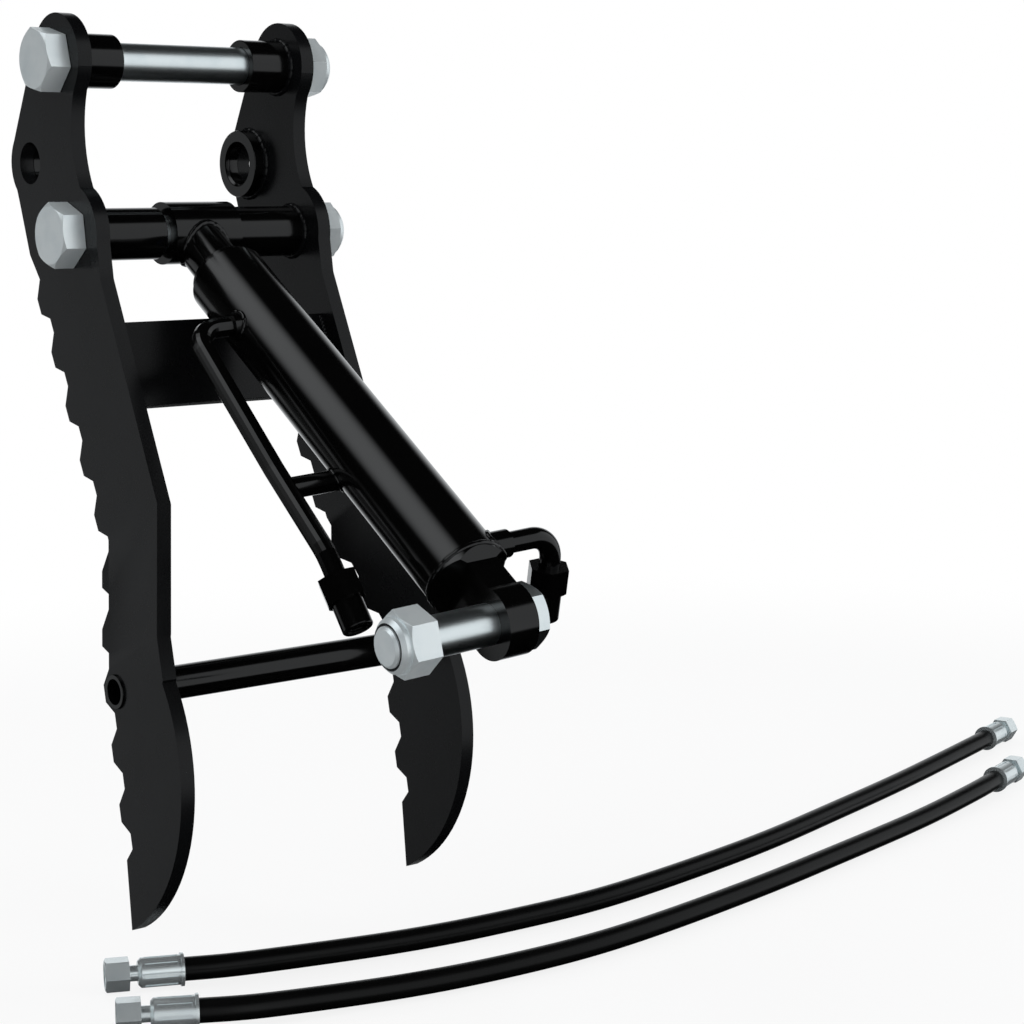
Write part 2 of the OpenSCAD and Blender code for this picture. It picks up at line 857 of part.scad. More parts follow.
// The body past a line's nut, with an open mouth for a hose
module line_fitting() {
    color(gloss) translate([0, 0, line_nut_h + fit]) difference() {
        union() {
            cylinder(h = line_body_h - over, r = line_body_r);
            translate([0, 0, line_body_h - over])
                cylinder(h = over, r1 = line_body_r, r2 = line_body_r - over);
        }
        translate([0, 0, -over]) cylinder(h = line_body_h, r = oil_way_r);
        translate([0, 0, line_body_h - line_mouth_h]) cylinder(h = line_body_h, r = line_mouth_r);
    }
}

module head_line_nut() { at_head_line_nut() line_nut(); }
module head_line_fitting() { at_head_line_nut() line_fitting(); }
module base_line_nut() { at_base_line_nut() line_nut(); }
module base_line_fitting() { at_base_line_nut() line_fitting(); }

// Base bolt, through the base lug with its head on the right

module at_base_bolt() {
    along_barrel() translate([base_eye_w / 2 + play, 0, closed_len]) rotate([0, -90, 0]) children();
}

module base_bolt() { at_base_bolt() hex_bolt(base_grip, base_head_turn, base_bolt_af, base_head_h); }
module base_nut() { at_base_bolt() translate([0, 0, base_grip]) lock_nut(base_nut_turn, base_bolt_af); }
module base_nut_insert() { at_base_bolt() translate([0, 0, base_grip]) lock_insert(base_bolt_af); }

// Hoses, laid out on the floor

// A point on the curve through p, between p[i] and p[i + 1] at the share t
function on_route(p, i, t) =
    let (a = p[max(i - 1, 0)], b = p[i], c = p[i + 1], d = p[min(i + 2, len(p) - 1)])
        0.5 * (2 * b + (c - a) * t + (2 * a - 5 * b + 4 * c - d) * t * t
            + (3 * b - a - 3 * c + d) * t * t * t);

function route(p) = concat(
    [for (i = [0 : len(p) - 2], k = [0 : hose_steps - 1]) on_route(p, i, k / hose_steps)],
    [p[len(p) - 1]]);

function heading(turn) = [cos(turn), sin(turn), 0];

function raised(p) = [p[0], p[1], p[2] + hose_z];

// The route from the first ferrule to the last, with straight ends
function hose_route(start, start_turn, middle, finish, finish_turn) =
    let (a = [start[0], start[1], end_z], b = [finish[0], finish[1], end_z])
        concat(
            [for (s = lead_shares) a - s * hose_lead * heading(start_turn)],
            [for (p = middle) raised(p)],
            [for (s = lead_shares) b - (1 - s) * hose_lead * heading(finish_turn)]);

function along(p, i) =
    let (d = p[min(i + 1, len(p) - 1)] - p[max(i - 1, 0)]) d / norm(d);

// One tube swept along the points p, whose direction is never that of top
module sweep(p, r, sides, top = [0, 0, 1]) {
    n = len(p);
    points = [for (i = [0 : n - 1], k = [0 : sides - 1])
        let (t = along(p, i), side = cross(top, t), across = side / norm(side),
            up = cross(t, across), a = 360 * k / sides)
            p[i] + r * (cos(a) * across + sin(a) * up)];
    walls = [for (i = [0 : n - 2], k = [0 : sides - 1])
        let (m = (k + 1) % sides) [i * sides + k, (i + 1) * sides + k, (i + 1) * sides + m, i * sides + m]];
    first = [for (k = [0 : sides - 1]) k];
    last = [for (k = [0 : sides - 1]) n * sides - 1 - k];
    polyhedron(points = points, faces = concat(walls, [first, last]));
}

module hose(start, start_turn, middle, finish, finish_turn) {
    color(rubber)
        sweep(route(hose_route(start, start_turn, middle, finish, finish_turn)), hose_r, hose_sides);
}

module hose_end(at, turn) {
    translate([at[0], at[1], end_z]) rotate([0, 90, turn]) children();
}

module ferrule() {
    color(zinc) difference() {
        union() {
            cylinder(h = ferrule_lip, r = ferrule_r + ferrule_lip / 2);
            cylinder(h = ferrule_len - ferrule_lip, r = ferrule_r);
            translate([0, 0, ferrule_len - ferrule_lip])
                cylinder(h = ferrule_lip, r1 = ferrule_r, r2 = ferrule_r - ferrule_lip);
        }
        for (k = [0 : crimp_marks - 1])
            rotate([0, 0, k * 360 / crimp_marks])
                translate([ferrule_r - crimp_depth, -crimp_w / 2, ferrule_lip * 2])
                    cube([ferrule_lip, crimp_w, ferrule_len - 4 * ferrule_lip]);
    }
}

// The neck that leaves the ferrule, and its seat inside the swivel nut
module hose_nipple() {
    seat_z = ferrule_len + swivel_gap + swivel_wall + play;
    color(zinc) difference() {
        union() {
            translate([0, 0, ferrule_len]) cylinder(h = seat_z - ferrule_len, r = swivel_neck_r);
            translate([0, 0, seat_z]) cylinder(h = swivel_flange, r = swivel_head_r);
            translate([0, 0, seat_z + swivel_flange])
                cylinder(h = swivel_cone, r1 = swivel_head_r, r2 = swivel_head_r - swivel_cone / 2);
        }
        translate([0, 0, ferrule_len + over]) cylinder(h = ferrule_len, r = swivel_bore_r);
    }
}

module swivel_nut() {
    color(zinc) translate([0, 0, ferrule_len + swivel_gap]) difference() {
        rotate([0, 0, 30]) hexagon(hose_nut_af, swivel_nut_len, over);
        translate([0, 0, -over]) cylinder(h = swivel_nut_len, r = swivel_neck_r + fit);
        translate([0, 0, swivel_wall])
            cylinder(h = swivel_thread_from - swivel_wall, r = swivel_relief_r);
        translate([0, 0, swivel_wall]) cylinder(h = swivel_nut_len, r = swivel_thread_r);
    }
}

module hose_1() { hose(hose_1_start, hose_1_start_turn, hose_1_middle, hose_1_finish, hose_1_finish_turn); }
module hose_1_ferrule_near() { hose_end(hose_1_start, hose_1_start_turn) ferrule(); }
module hose_1_ferrule_far() { hose_end(hose_1_finish, hose_1_finish_turn) ferrule(); }
module hose_1_nipple_near() { hose_end(hose_1_start, hose_1_start_turn) hose_nipple(); }
module hose_1_nipple_far() { hose_end(hose_1_finish, hose_1_finish_turn) hose_nipple(); }
module hose_1_nut_near() { hose_end(hose_1_start, hose_1_start_turn) swivel_nut(); }
module hose_1_nut_far() { hose_end(hose_1_finish, hose_1_finish_turn) swivel_nut(); }
module hose_2() { hose(hose_2_start, hose_2_start_turn, hose_2_middle, hose_2_finish, hose_2_finish_turn); }
module hose_2_ferrule_near() { hose_end(hose_2_start, hose_2_start_turn) ferrule(); }
module hose_2_ferrule_far() { hose_end(hose_2_finish, hose_2_finish_turn) ferrule(); }
module hose_2_nipple_near() { hose_end(hose_2_start, hose_2_start_turn) hose_nipple(); }
module hose_2_nipple_far() { hose_end(hose_2_finish, hose_2_finish_turn) hose_nipple(); }
module hose_2_nut_near() { hose_end(hose_2_start, hose_2_start_turn) swivel_nut(); }
module hose_2_nut_far() { hose_end(hose_2_finish, hose_2_finish_turn) swivel_nut(); }

side_plate_left();
side_plate_right();
pivot_boss_left();
pivot_boss_right();
middle_boss_left();
middle_boss_right();
rod_boss_left();
rod_boss_right();
cross_plate();
cross_tube();
main_bolt();
main_nut();
main_nut_insert();
rod_bolt();
rod_nut();
rod_nut_insert();
rod_eye();
piston_rod();
piston();
piston_seal();
piston_nut();
gland();
gland_o_ring();
rod_seal();
rod_wiper();
barrel_tube();
base_lug();
head_port();
base_port();
head_line();
head_line_strut();
head_line_nut();
head_line_fitting();
base_line();
base_line_nut();
base_line_fitting();
base_bolt();
base_nut();
base_nut_insert();
hose_1();
hose_1_ferrule_near();
hose_1_ferrule_far();
hose_1_nipple_near();
hose_1_nipple_far();
hose_1_nut_near();
hose_1_nut_far();
hose_2();
hose_2_ferrule_near();
hose_2_ferrule_far();
hose_2_nipple_near();
hose_2_nipple_far();
hose_2_nut_near();
hose_2_nut_far();
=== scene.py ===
# Looks for the hydraulic excavator thumb: camera, lights, paints, plated metal,
# weld seams and the two loose hoses. Metres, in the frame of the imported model.
import json
import math

import bpy
import bmesh
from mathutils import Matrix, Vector


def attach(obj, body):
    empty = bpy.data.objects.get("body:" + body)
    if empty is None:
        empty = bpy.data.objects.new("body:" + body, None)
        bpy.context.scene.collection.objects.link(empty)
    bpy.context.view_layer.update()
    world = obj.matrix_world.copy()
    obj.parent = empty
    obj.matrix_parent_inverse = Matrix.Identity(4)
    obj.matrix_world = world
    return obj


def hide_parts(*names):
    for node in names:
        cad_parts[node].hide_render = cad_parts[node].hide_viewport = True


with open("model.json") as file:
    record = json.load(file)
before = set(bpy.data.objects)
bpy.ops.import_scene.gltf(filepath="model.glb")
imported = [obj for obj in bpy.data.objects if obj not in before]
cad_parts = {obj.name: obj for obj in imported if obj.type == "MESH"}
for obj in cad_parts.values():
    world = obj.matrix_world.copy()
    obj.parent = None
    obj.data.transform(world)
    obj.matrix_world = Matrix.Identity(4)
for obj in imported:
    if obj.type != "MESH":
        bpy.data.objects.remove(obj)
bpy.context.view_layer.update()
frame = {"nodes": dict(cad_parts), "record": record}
nodes = frame["nodes"]
MM = 0.001

# Sizes that the looks share with the model, in millimetres
PLATE_INSIDE = 78
LOWER_INSIDE = 100.5
MAIN_PIN = Vector((0, 0, 0))
MIDDLE_BORE = Vector((0, 36.5, -63.5))
ROD_PIN = Vector((0, -14, -108))
CROSS_TUBE = Vector((0, -94.87, -382.13))
PIVOT_BOSS_R = 17
ROD_BOSS_R = 16.5
MIDDLE_BOSS_R = 22.3
CROSS_TUBE_R = 10.65
CROSS_PLATE_TOP = Vector((0, -46, -161.4))
CROSS_PLATE_WIDTH = 56
CROSS_PLATE_THICKNESS = 6
BARREL_R = 25
BARREL_END = 341
ROD_EYE_R = 20
NECK_R = 16
PORT_R = 8.35
HEAD_PORT = (5, 104)
BASE_PORT = (13, 335)
LINE_OUT = 54
LINE_WAIST = (-13.4, 216.6)
LINE_KNEE = (-21.5, 283.1)
LINE_FINISH = (-32.9, 312.4)
LINE_BODY = 18
LINE_MOUTH_R = 6.5
LINE_MOUTH_DEPTH = 12
STRUT_R = 6.5
STRUT_SHARE = 0.23
BASE_LINE_OUT = 62
BASE_LINE_MOUTH_AT = 54.6
HOSE_R = 7.5
FERRULE_R = 9.5
FERRULE_RIM = 1
HOSE_LOW_Z = -573
HOSE_AXIS_Z = HOSE_LOW_Z + HOSE_R
END_AXIS_Z = HOSE_LOW_Z + FERRULE_R
FLOOR_Z = HOSE_LOW_Z - FERRULE_RIM
HOSE_LEAD = 32
NUT_THREAD_FROM = 40.8
NUT_THREAD_TO = 48.4
NUT_THREAD_R = 7.1

# Angles of the model
CYLINDER_DIP = math.radians(33.3)
BARREL_ROLL = math.radians(5)
CROSS_PLATE_LEAN = math.radians(26)
BASE_LINE_DROP = math.radians(72)

# Each hose: its near end and heading, points between, far end and heading
HOSES = {
    "hose_1": ((-72, -104), 155,
               [(70, -144), (160, -156), (250, -157), (400, -136), (530, -106), (640, -78)],
               (794, -36), 17),
    "hose_2": ((-104, -173), 151,
               [(20, -213), (105, -226), (190, -227), (320, -211), (437, -190), (560, -165)],
               (688, -132), 18),
}
HOSE_STEP = 4
HOSE_EASING = 30
CURVE_STEPS = 8

# Weld seams and thread ridges, in millimetres
WELD_R = 2.2
CAP_WELD_R = 1.9
PORT_WELD_R = 1.5
WELD_SUNK = 0.7
SEAM_INSET = 2
SEAM_STEPS = 140
RIPPLE_STEPS = 7
FRAME_RIPPLES = 1.1
PORT_RIPPLES = 1.3
THREAD_PITCH = 1.5
THREAD_STEPS = 20
THREAD_RIDGE_R = 0.5
THREAD_SUNK = 0.1
MOUTH_MARGIN = 1

# The photograph's camera, in metres and degrees
LENS = 82.3
SENSOR_WIDTH = 36
CAMERA_AT = (-0.81319, -1.32267, -0.06963)
CAMERA_TILT = 81.76
CAMERA_HEADING = -39.61

# Each lamp: where it hangs, its size in metres and its power in watts
LAMPS = {
    "left softbox": ((-1.3, 0.2, 1.4), (0.9, 0.9), 9),
    "right softbox": ((1.2, -1.7, 0.6), (0.8, 1.6), 12),
    "rim": ((0.9, 1.7, 1.1), (0.8, 1.2), 9),
}
LAMPS_AIM = (0, -0.1, -0.3)

# What gloss sees of the room: a direction, the cosines of the angle from it at
# the patch's rim and at its full middle, and how bright that is
ROOM = {
    "white_wall": ((0.6, 0.79, 0), 0.7, 0.96, 0.95),
    "grey_wall": ((-0.49, 0.86, -0.15), 0.94, 0.99, 0.42),
    "overhead": ((-0.57, 0.24, 0.79), 0.86, 1.0, 1.9),
    "near_wall": ((-0.6, -0.79, 0), 0.7, 0.9, 0.5),
    "tall_panel": ((0.57, -0.82, 0), 0.5, 0.58, 0.9),
    "panel_foot": ((0, 0, 1), -0.34, -0.28, 1),
    "panel_top": ((0, 0, -1), -0.69, -0.62, 1),
    "wall_top": ((0, 0, -1), -0.7, -0.35, 1),
    "wall_foot": ((0, 0, 1), -0.7, -0.35, 1),
}

# The floor, and where plated pieces change their shine, in metres
FLOOR_R = 1.4
FLOOR_MIDDLE = (0.3, -0.1)
FLOOR_FADE = (0.5, 0.95)
FLOOR_WHITENESS = 0.84
SHANK_HALF = 0.0505
HOSE_END_TOP = -0.54

# How far edges count as flat, sharp or creased
MERGE_WITHIN = 0.00001
FLAT_WITHIN = math.radians(0.6)
ROUNDED_OVER = math.radians(25)
CREASED_OVER = math.radians(35)


# Places on the cylinder

def on_barrel(across, up, along, roll=BARREL_ROLL):
    """A point in the barrel's frame: across it, up from it and along it."""
    down_it = Vector((0, -math.cos(CYLINDER_DIP), -math.sin(CYLINDER_DIP)))
    level, risen = Vector((1, 0, 0)), Vector((0, -math.sin(CYLINDER_DIP), math.cos(CYLINDER_DIP)))
    side = level * math.cos(roll) + risen * math.sin(roll)
    top = risen * math.cos(roll) - level * math.sin(roll)
    return ROD_PIN + across * side + up * top + along * down_it


# Camera and lights

def make_camera():
    """The camera stands where the photograph was taken from."""
    data = bpy.data.cameras.new("camera")
    data.lens = LENS
    data.sensor_width = SENSOR_WIDTH
    data.clip_end = 30
    camera = bpy.data.objects.new("camera", data)
    camera.location = CAMERA_AT
    camera.rotation_euler = (math.radians(CAMERA_TILT), 0, math.radians(CAMERA_HEADING))
    bpy.context.scene.collection.objects.link(camera)
    bpy.context.scene.camera = camera


def make_lamp(name, place, size, power):
    """A soft box that looks at the object. Gloss sees the room instead."""
    data = bpy.data.lights.new(name, "AREA")
    data.shape = "RECTANGLE"
    data.size, data.size_y = size
    data.energy = power
    lamp = bpy.data.objects.new(name, data)
    lamp.location = place
    aim = Vector(LAMPS_AIM) - Vector(place)
    lamp.rotation_euler = aim.to_track_quat("-Z", "Y").to_euler()
    lamp.visible_glossy = False
    bpy.context.scene.collection.objects.link(lamp)


def soft_panel(tree, direction, toward, rim, middle, strength):
    """A bright patch of the room, from its soft rim to its full middle."""
    across = add(tree, "ShaderNodeVectorMath", operation="DOT_PRODUCT")
    across.inputs[1].default_value = toward
    level = add(tree, "ShaderNodeMapRange", interpolation_type="SMOOTHSTEP")
    level.inputs["From Min"].default_value = rim
    level.inputs["From Max"].default_value = middle
    level.inputs["To Max"].default_value = strength
    tree.links.new(direction, across.inputs[0])
    tree.links.new(across.outputs["Value"], level.inputs["Value"])
    return level.outputs["Result"]


def make_room_gloss(tree, direction):
    """How bright the room looks in gloss: white behind the object, a grey wall
    at the left, a tall panel at the right, a soft one overhead and a dimmer
    one behind the camera."""
    part = {name: soft_panel(tree, direction, *patch) for name, patch in ROOM.items()}

    def combine(operation, first, *others):
        for other in others:
            node = add(tree, "ShaderNodeMath", operation=operation)
            tree.links.new(first, node.inputs[0])
            tree.links.new(other, node.inputs[1])
            first = node.outputs[0]
        return first

    panel = combine("MULTIPLY", part["tall_panel"], part["panel_foot"], part["panel_top"])
    walls = combine("ADD", part["white_wall"], part["grey_wall"])
    walls = combine("MULTIPLY", walls, part["wall_top"], part["wall_foot"])
    return combine("ADD", walls, part["overhead"], part["near_wall"], panel)


def make_world():
    """A plain pale room. It is white to the camera, and gloss sees its walls
    and panels."""
    world = bpy.data.worlds.new("room")
    bpy.context.scene.world = world
    world.use_nodes = True
    tree = world.node_tree
    tree.nodes.clear()
    link = tree.links.new
    out = add(tree, "ShaderNodeOutputWorld")
    seen = add(tree, "ShaderNodeBackground")
    seen.inputs["Color"].default_value = (1, 1, 1, 1)
    seen.inputs["Strength"].default_value = 1.0
    light = add(tree, "ShaderNodeBackground")
    light.inputs["Color"].default_value = (0.97, 0.98, 1, 1)
    light.inputs["Strength"].default_value = 0.6
    gloss = add(tree, "ShaderNodeBackground")
    gloss.inputs["Color"].default_value = (0.95, 0.98, 1, 1)
    direction = add(tree, "ShaderNodeTexCoord")
    link(make_room_gloss(tree, direction.outputs["Generated"]), gloss.inputs["Strength"])
    path = add(tree, "ShaderNodeLightPath")
    through = add(tree, "ShaderNodeMath", operation="MAXIMUM")
    link(path.outputs["Is Camera Ray"], through.inputs[0])
    link(path.outputs["Is Transmission Ray"], through.inputs[1])
    lit = add(tree, "ShaderNodeMixShader")
    link(path.outputs["Is Glossy Ray"], lit.inputs["Fac"])
    link(light.outputs[0], lit.inputs[1])
    link(gloss.outputs[0], lit.inputs[2])
    mix = add(tree, "ShaderNodeMixShader")
    link(through.outputs[0], mix.inputs["Fac"])
    link(lit.outputs[0], mix.inputs[1])
    link(seen.outputs[0], mix.inputs[2])
    link(mix.outputs[0], out.inputs["Surface"])


# Loose hoses

def on_route(points, i, share):
    """A point on the smooth curve between points[i] and points[i + 1]."""
    a = points[max(i - 1, 0)]
    b, c = points[i], points[i + 1]
    d = points[min(i + 2, len(points) - 1)]
    square, cube = share * share, share * share * share
    return 0.5 * (2 * b + (c - a) * share + (2 * a - 5 * b + 4 * c - d) * square
                  + (3 * b - a - 3 * c + d) * cube)


def heading(turn):
    return Vector((math.cos(math.radians(turn)), math.sin(math.radians(turn)), 0))


def eased(route):
    """The route at an even step, averaged until its small kinks ease out."""
    even, left = [route[0]], HOSE_STEP
    for a, b in zip(route, route[1:]):
        while (b - a).length >= left:
            a = a.lerp(b, left / (b - a).length)
            even.append(a)
            left = HOSE_STEP
        left -= (b - a).length
    even.append(route[-1])
    for _ in range(HOSE_EASING):
        inner = [(a + 2 * b + c) / 4 for a, b, c in zip(even[1:], even[2:], even[3:])]
        even = even[:2] + inner + even[-1:]
    return even


def hose_route(start, start_turn, middle, finish, finish_turn):
    """The route from ferrule to ferrule over the floor, with straight ends."""
    first = Vector((start[0], start[1], END_AXIS_Z))
    last = Vector((finish[0], finish[1], END_AXIS_Z))
    laid = [Vector((x, y, HOSE_AXIS_Z)) for x, y in middle]
    shares = (0, 0.5, 1)
    corners = [first - share * HOSE_LEAD * heading(start_turn) for share in shares] + laid
    corners += [last - (1 - share) * HOSE_LEAD * heading(finish_turn) for share in shares]
    smooth = [on_route(corners, i, k / CURVE_STEPS)
              for i in range(len(corners) - 1) for k in range(CURVE_STEPS)]
    return [p * MM for p in eased(smooth + [last])]


def make_hose(name, route):
    data = bpy.data.curves.new(name + "_rubber", "CURVE")
    data.dimensions = "3D"
    data.bevel_depth = HOSE_R * MM
    data.bevel_resolution = 8
    data.use_fill_caps = True
    spline = data.splines.new("POLY")
    spline.points.add(len(route) - 1)
    for point, place in zip(spline.points, route):
        point.co = (*place, 1)
    hose = bpy.data.objects.new(name + "_rubber", data)
    bpy.context.scene.collection.objects.link(hose)
    data.materials.append(finishes["hose_rubber"])
    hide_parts(name)
    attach(hose, "main_pin")
    return hose


def make_hoses():
    for name, course in HOSES.items():
        make_hose(name, hose_route(*course))


# Shader groups

def new_group(name, inputs, outputs):
    group = bpy.data.node_groups.new(name, "ShaderNodeTree")
    for label, kind, value in inputs:
        socket = group.interface.new_socket(label, in_out="INPUT", socket_type=kind)
        socket.default_value = value
    for label, kind in outputs:
        group.interface.new_socket(label, in_out="OUTPUT", socket_type=kind)
    return group, group.nodes.new("NodeGroupInput"), group.nodes.new("NodeGroupOutput")


def add(tree, kind, **settings):
    node = tree.nodes.new(kind)
    for key, value in settings.items():
        setattr(node, key, value)
    return node


def sprayed_paint_group():
    """Paint with cloudy tone, fine orange peel and a few rubbed patches."""
    group, given, result = new_group(
        "sprayed paint",
        [("Colour", "NodeSocketColor", (0.02, 0.02, 0.02, 1)),
         ("Cloud Colour", "NodeSocketColor", (0.03, 0.03, 0.03, 1)),
         ("Roughness", "NodeSocketFloat", 0.4),
         ("Roughness Spread", "NodeSocketFloat", 0.1),
         ("Peel Size", "NodeSocketFloat", 900),
         ("Peel Height", "NodeSocketFloat", 0.1)],
        [("Colour", "NodeSocketColor"), ("Roughness", "NodeSocketFloat"),
         ("Normal", "NodeSocketVector")])
    place = add(group, "ShaderNodeTexCoord")
    cloud = add(group, "ShaderNodeTexNoise")
    cloud.inputs["Scale"].default_value = 11
    cloud.inputs["Detail"].default_value = 5
    tone = add(group, "ShaderNodeMapRange")
    tone.inputs["From Min"].default_value = 0.35
    tone.inputs["From Max"].default_value = 0.68
    blend = add(group, "ShaderNodeMix", data_type="RGBA")
    handled = add(group, "ShaderNodeTexNoise")
    handled.inputs["Scale"].default_value = 46
    handled.inputs["Detail"].default_value = 6
    spread = add(group, "ShaderNodeMath", operation="MULTIPLY_ADD")
    centre = add(group, "ShaderNodeMath", operation="SUBTRACT")
    centre.inputs[1].default_value = 0.5
    peel = add(group, "ShaderNodeTexNoise")
    peel.inputs["Detail"].default_value = 2
    bump = add(group, "ShaderNodeBump")
    bump.inputs["Distance"].default_value = 0.0002
    link = group.links.new
    for texture in (cloud, handled, peel):
        link(place.outputs["Object"], texture.inputs["Vector"])
    link(cloud.outputs["Fac"], tone.inputs["Value"])
    link(tone.outputs["Result"], blend.inputs["Factor"])
    link(given.outputs["Colour"], blend.inputs[6])
    link(given.outputs["Cloud Colour"], blend.inputs[7])
    link(blend.outputs[2], result.inputs["Colour"])
    link(handled.outputs["Fac"], centre.inputs[0])
    link(centre.outputs[0], spread.inputs[0])
    link(given.outputs["Roughness Spread"], spread.inputs[1])
    link(given.outputs["Roughness"], spread.inputs[2])
    link(spread.outputs[0], result.inputs["Roughness"])
    link(given.outputs["Peel Size"], peel.inputs["Scale"])
    link(peel.outputs["Fac"], bump.inputs["Height"])
    link(given.outputs["Peel Height"], bump.inputs["Strength"])
    link(bump.outputs["Normal"], result.inputs["Normal"])
    return group


def drawn_metal_group():
    """Metal with fine lines along or round its piece and faint stains. Bolt
    shanks between the bosses shine more than their heads and nuts, and so do
    the hose ends, which lie low."""
    group, given, result = new_group(
        "drawn metal",
        [("Colour", "NodeSocketColor", (0.8, 0.8, 0.8, 1)),
         ("Stain Colour", "NodeSocketColor", (0.6, 0.6, 0.6, 1)),
         ("Line Stretch", "NodeSocketVector", (1, 60, 60)),
         ("Roughness", "NodeSocketFloat", 0.25),
         ("Roughness Spread", "NodeSocketFloat", 0.2),
         ("Line Height", "NodeSocketFloat", 0.15),
         ("Shank Shine", "NodeSocketFloat", 0.0),
         ("Hose End Shine", "NodeSocketFloat", 0.0),
         ("Hose End Metal", "NodeSocketFloat", 0.0),
         ("Metal", "NodeSocketFloat", 1.0)],
        [("Colour", "NodeSocketColor"), ("Roughness", "NodeSocketFloat"),
         ("Normal", "NodeSocketVector"), ("Metallic", "NodeSocketFloat")])
    place = add(group, "ShaderNodeTexCoord")
    stretch = add(group, "ShaderNodeVectorMath", operation="MULTIPLY")
    lines = add(group, "ShaderNodeTexNoise")
    lines.inputs["Scale"].default_value = 12
    lines.inputs["Detail"].default_value = 6
    stain = add(group, "ShaderNodeTexNoise")
    stain.inputs["Scale"].default_value = 60
    stain.inputs["Detail"].default_value = 4
    tone = add(group, "ShaderNodeMapRange")
    tone.inputs["From Min"].default_value = 0.45
    tone.inputs["From Max"].default_value = 0.75
    blend = add(group, "ShaderNodeMix", data_type="RGBA")
    centre = add(group, "ShaderNodeMath", operation="SUBTRACT")
    centre.inputs[1].default_value = 0.5
    spread = add(group, "ShaderNodeMath", operation="MULTIPLY_ADD")
    bump = add(group, "ShaderNodeBump")
    bump.inputs["Distance"].default_value = 0.0001
    parts = add(group, "ShaderNodeSeparateXYZ")
    aside = add(group, "ShaderNodeMath", operation="ABSOLUTE")
    shank = add(group, "ShaderNodeMath", operation="LESS_THAN")
    shank.inputs[1].default_value = SHANK_HALF
    shine = add(group, "ShaderNodeMath", operation="MULTIPLY")
    low = add(group, "ShaderNodeMath", operation="LESS_THAN")
    low.inputs[1].default_value = HOSE_END_TOP
    polish = add(group, "ShaderNodeMath", operation="MULTIPLY_ADD")
    smooth = add(group, "ShaderNodeMath", operation="SUBTRACT")
    barer = add(group, "ShaderNodeMath", operation="MULTIPLY")
    bare = add(group, "ShaderNodeMath", operation="MAXIMUM")
    metal = add(group, "ShaderNodeMath", operation="MAXIMUM")
    link = group.links.new
    link(place.outputs["Object"], stretch.inputs[0])
    link(given.outputs["Line Stretch"], stretch.inputs[1])
    link(stretch.outputs[0], lines.inputs["Vector"])
    link(place.outputs["Object"], stain.inputs["Vector"])
    link(stain.outputs["Fac"], tone.inputs["Value"])
    link(tone.outputs["Result"], blend.inputs["Factor"])
    link(given.outputs["Colour"], blend.inputs[6])
    link(given.outputs["Stain Colour"], blend.inputs[7])
    link(blend.outputs[2], result.inputs["Colour"])
    link(lines.outputs["Fac"], centre.inputs[0])
    link(centre.outputs[0], spread.inputs[0])
    link(given.outputs["Roughness Spread"], spread.inputs[1])
    link(given.outputs["Roughness"], spread.inputs[2])
    link(place.outputs["Object"], parts.inputs[0])
    link(parts.outputs["X"], aside.inputs[0])
    link(aside.outputs[0], shank.inputs[0])
    link(shank.outputs[0], shine.inputs[0])
    link(given.outputs["Shank Shine"], shine.inputs[1])
    link(parts.outputs["Z"], low.inputs[0])
    link(low.outputs[0], polish.inputs[0])
    link(given.outputs["Hose End Shine"], polish.inputs[1])
    link(shine.outputs[0], polish.inputs[2])
    link(spread.outputs[0], smooth.inputs[0])
    link(polish.outputs[0], smooth.inputs[1])
    link(smooth.outputs[0], result.inputs["Roughness"])
    link(shank.outputs[0], bare.inputs[0])
    link(low.outputs[0], barer.inputs[0])
    link(given.outputs["Hose End Metal"], barer.inputs[1])
    link(barer.outputs[0], bare.inputs[1])
    link(bare.outputs[0], metal.inputs[0])
    link(given.outputs["Metal"], metal.inputs[1])
    link(metal.outputs[0], result.inputs["Metallic"])
    link(lines.outputs["Fac"], bump.inputs["Height"])
    link(given.outputs["Line Height"], bump.inputs["Strength"])
    link(bump.outputs["Normal"], result.inputs["Normal"])
    return group


def finish_from(group, name, values, **shader_values):
    """A material whose colour, roughness and normal, and a metal's share of
    metal, come from a group."""
    material = bpy.data.materials.new(name)
    material.use_nodes = True
    tree = material.node_tree
    shader = tree.nodes["Principled BSDF"]
    effect = add(tree, "ShaderNodeGroup", node_tree=group)
    for key, value in values.items():
        effect.inputs[key].default_value = value
    for key, value in shader_values.items():
        shader.inputs[key.replace("_", " ")].default_value = value
    tree.links.new(effect.outputs["Colour"], shader.inputs["Base Color"])
    tree.links.new(effect.outputs["Roughness"], shader.inputs["Roughness"])
    tree.links.new(effect.outputs["Normal"], shader.inputs["Normal"])
    if "Metallic" in effect.outputs:
        tree.links.new(effect.outputs["Metallic"], shader.inputs["Metallic"])
    return material


def grey(level, tint=0.0):
    """A grey, a little bluer by the tint."""
    return (level * (1 - tint), level, level * (1 + 2 * tint), 1)


